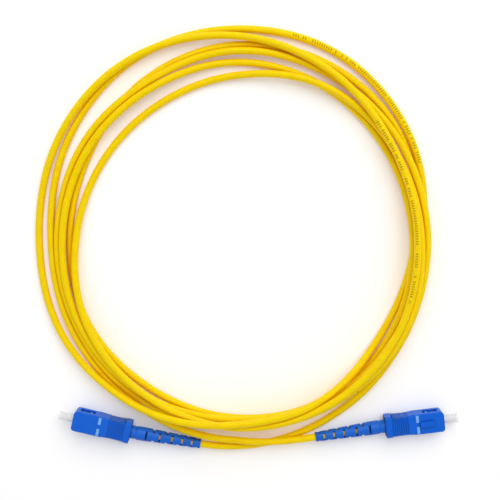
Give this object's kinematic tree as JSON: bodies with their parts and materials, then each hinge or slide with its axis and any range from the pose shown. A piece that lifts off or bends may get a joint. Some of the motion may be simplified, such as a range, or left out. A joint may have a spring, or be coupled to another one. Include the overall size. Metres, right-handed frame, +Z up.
{
  "type": "fiber optic patch cord",
  "caption": "Coiled single-fibre patch cord with a square push-pull plug, strain-relief boot and dust cap on each end.",
  "frame": {"origin": "middle of the whole cord's footprint, on the plane it rests on", "axes": "+Z up out of the coil's plane; the plugs lie on the -Y side, the right plug points to +X"},
  "size_m": [0.1803, 0.1798, 0.0142],
  "materials": {
    "jacket": "satin yellow cord jacket",
    "yarn": "straw yellow aramid yarn",
    "buffer": "white tight buffer",
    "glass": "clear coated glass fibre",
    "housing_blue": "semi-gloss moulded blue",
    "frame_blue": "semi-gloss moulded blue",
    "boot_blue": "soft satin blue elastomer",
    "mark_white": "white paint in shallow grooves",
    "ceramic": "polished white zirconia",
    "nickel": "nickel-plated brass, turned",
    "spring_steel": "bright spring wire",
    "crimp_metal": "annealed crimp metal",
    "cap_clear": "translucent soft plastic"
  },
  "bodies": {
    "cord": {"cable_jacket": "jacket", "strength_yarn": "yarn", "tight_buffer": "buffer", "glass_fibre": "glass", "right_plug_frame": "frame_blue", "right_spring": "spring_steel", "right_stop_ring": "nickel", "right_crimp_sleeve": "crimp_metal", "right_crimp_ring": "crimp_metal", "right_boot": "boot_blue", "left_plug_frame": "frame_blue", "left_spring": "spring_steel", "left_stop_ring": "nickel", "left_crimp_sleeve": "crimp_metal", "left_crimp_ring": "crimp_metal", "left_boot": "boot_blue"},
    "right_grip": {"right_outer_housing": "housing_blue", "right_index_marks": "mark_white"},
    "right_ferrule_set": {"right_ferrule": "ceramic", "right_ferrule_flange": "nickel"},
    "right_cap": {"right_dust_cap": "cap_clear"},
    "left_grip": {"left_outer_housing": "housing_blue", "left_index_marks": "mark_white"},
    "left_ferrule_set": {"left_ferrule": "ceramic", "left_ferrule_flange": "nickel"},
    "left_cap": {"left_dust_cap": "cap_clear"}
  },
  "joints": [
    {"name": "right_grip_slide", "type": "slide", "parent": "cord", "child": "right_grip", "axis": [-0.9925, -0.1219, 0], "range_m": [0, 0.002]},
    {"name": "right_ferrule_float", "type": "slide", "parent": "cord", "child": "right_ferrule_set", "axis": [-0.9925, -0.1219, 0], "range_m": [0, 0.0012], "stiffness_N_per_m": 1200, "springref_m": -0.006, "deforming": ["right_spring"]},
    {"name": "right_cap_pull", "type": "slide", "parent": "right_ferrule_set", "child": "right_cap", "axis": [0.9925, 0.1219, 0], "range_m": [0, 0.015]},
    {"name": "left_grip_slide", "type": "slide", "parent": "cord", "child": "left_grip", "axis": [0.9724, -0.2334, 0], "range_m": [0, 0.002]},
    {"name": "left_ferrule_float", "type": "slide", "parent": "cord", "child": "left_ferrule_set", "axis": [0.9724, -0.2334, 0], "range_m": [0, 0.0012], "stiffness_N_per_m": 1200, "springref_m": -0.006, "deforming": ["left_spring"]},
    {"name": "left_cap_pull", "type": "slide", "parent": "left_ferrule_set", "child": "left_cap", "axis": [-0.9724, 0.2334, 0], "range_m": [0, 0.015]}
  ]
}
